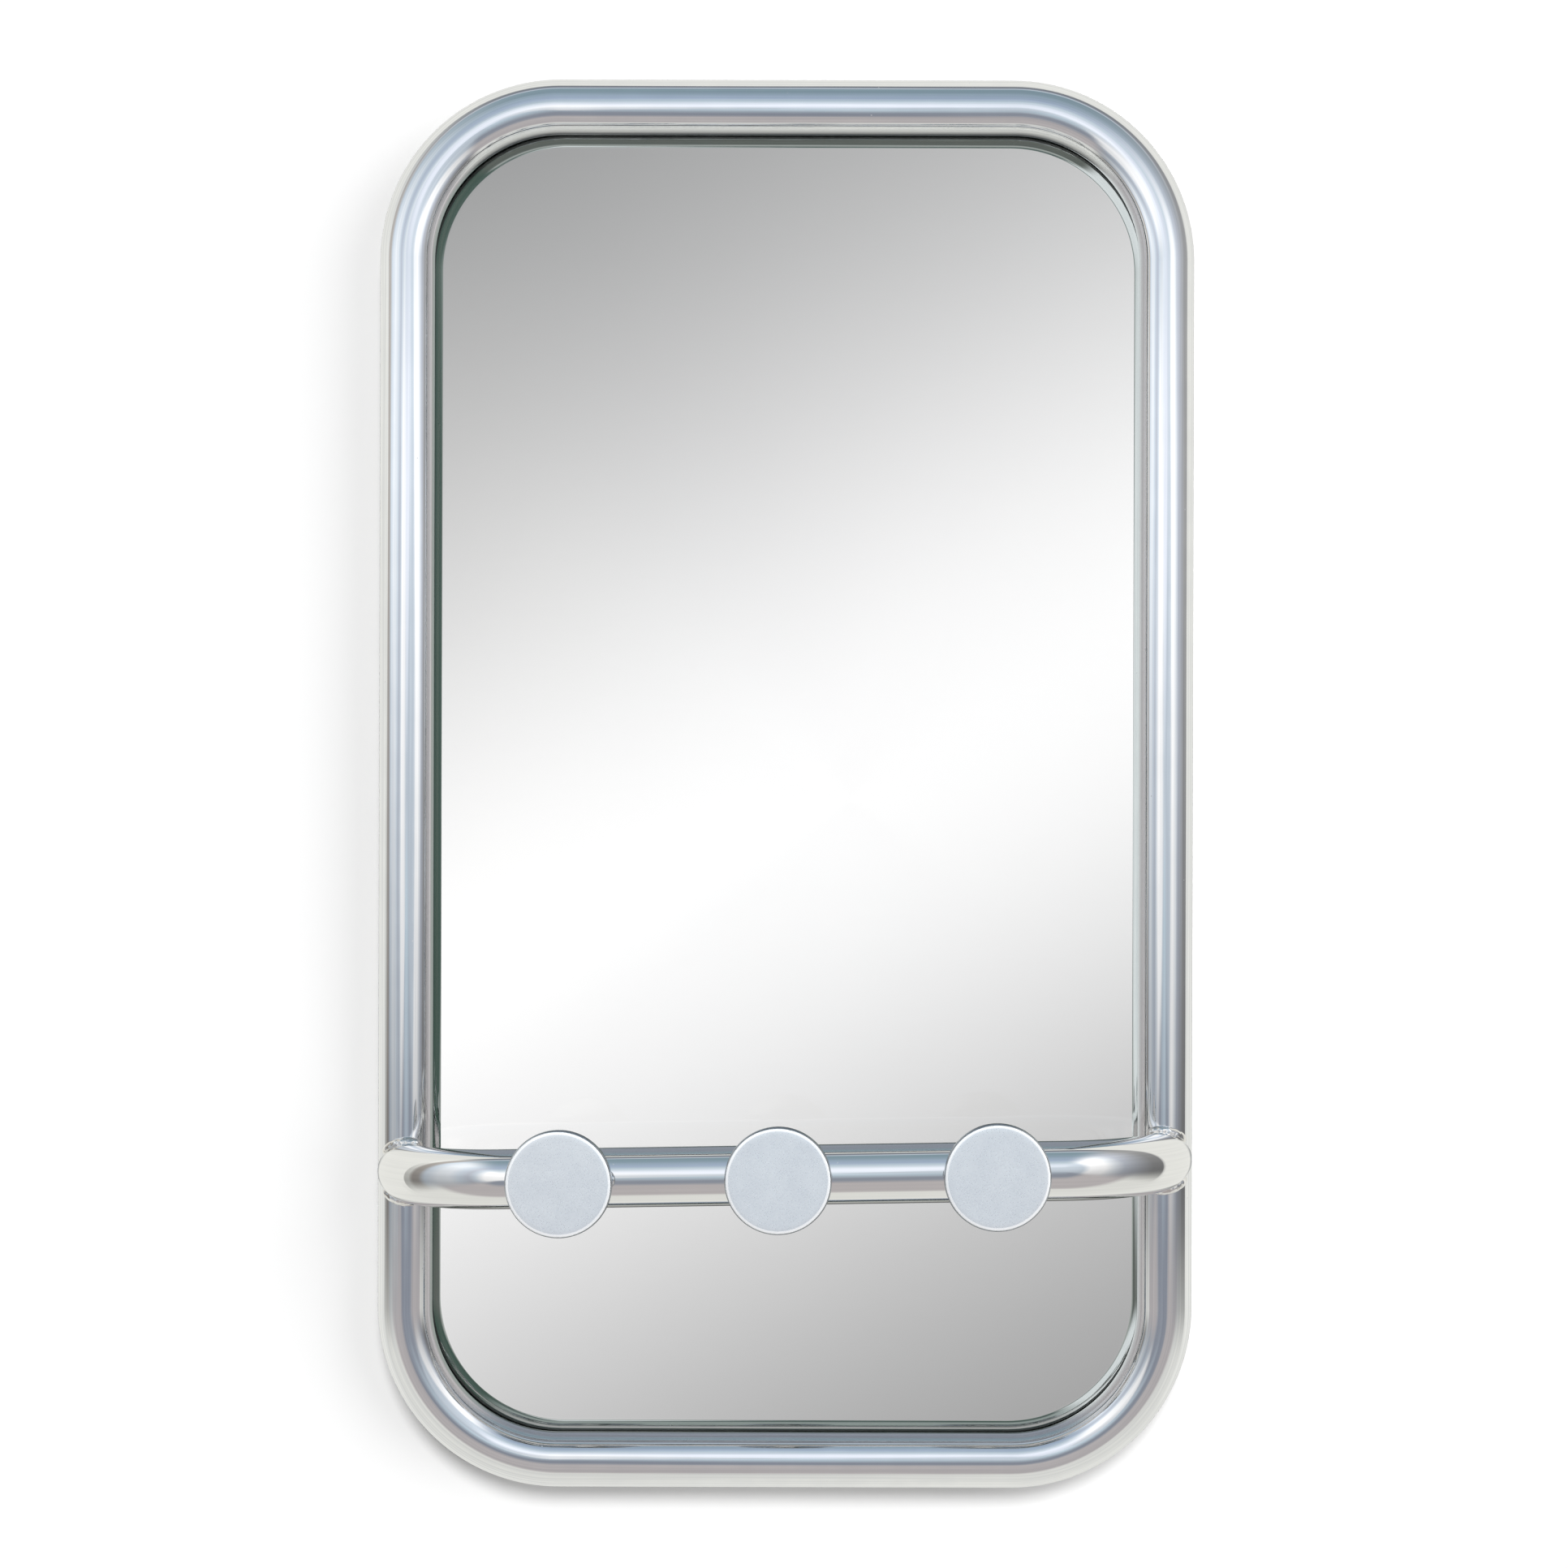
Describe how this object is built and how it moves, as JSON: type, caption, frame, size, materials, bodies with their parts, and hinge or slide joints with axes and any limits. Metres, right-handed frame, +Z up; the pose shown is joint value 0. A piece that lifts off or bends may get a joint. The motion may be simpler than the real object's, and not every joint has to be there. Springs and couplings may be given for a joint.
{
  "type": "wall mirror with hook rail",
  "caption": "Wall mirror in a closed rounded frame of polished tube, with a bent tube rail in front of its lower part that carries flat round disc hooks on short stems.",
  "frame": {"origin": "midway between the two hanging holes, on the plane of the wall", "axes": "+Z up along the mirror's long side, +X to the right as seen from the front, +Y into the wall, so the front faces -Y"},
  "size_m": [0.45, 0.121, 0.778],
  "materials": {
    "frame_tube": "satin polish, finely brushed along the tube",
    "rail_tube": "mirror polish",
    "weld_bead": "polished, slightly rippled",
    "hook_disc": "fine satin face with a polished rim",
    "hook_stem": "polished",
    "joint_sleeve": "as drawn",
    "clip_boss": "turned",
    "hanger_strap": "as rolled, lightly brushed",
    "steel_strip": "zinc plated",
    "steel_fastener": "zinc plated",
    "mirror_glass": "clear float glass with a ground edge",
    "mirror_silvering": "silver, painted grey on its back",
    "gasket": "matt",
    "backing_board": "hardboard, smooth side out",
    "bumper": "matt"
  },
  "bodies": {
    "root": {"frame_upper_tube": "frame_tube", "frame_lower_tube": "frame_tube", "joint_sleeve_left": "joint_sleeve", "joint_sleeve_right": "joint_sleeve", "hook_rail": "rail_tube", "rail_weld_left": "weld_bead", "rail_weld_right": "weld_bead", "hook_disc_left": "hook_disc", "hook_disc_centre": "hook_disc", "hook_disc_right": "hook_disc", "hook_stem_left": "hook_stem", "hook_stem_centre": "hook_stem", "hook_stem_right": "hook_stem", "hook_stud_left": "steel_fastener", "hook_stud_centre": "steel_fastener", "hook_stud_right": "steel_fastener", "rivet_nut_left": "steel_fastener", "rivet_nut_centre": "steel_fastener", "rivet_nut_right": "steel_fastener", "mirror_glass": "mirror_glass", "mirror_silvering": "mirror_silvering", "glass_gasket": "gasket", "backing_board": "backing_board", "clip_bosses": "clip_boss", "retaining_clips": "steel_strip", "clip_screws": "steel_fastener", "hanger_left": "hanger_strap", "hanger_right": "hanger_strap", "wall_bumper_left": "bumper", "wall_bumper_right": "bumper"}
  },
  "joints": []
}
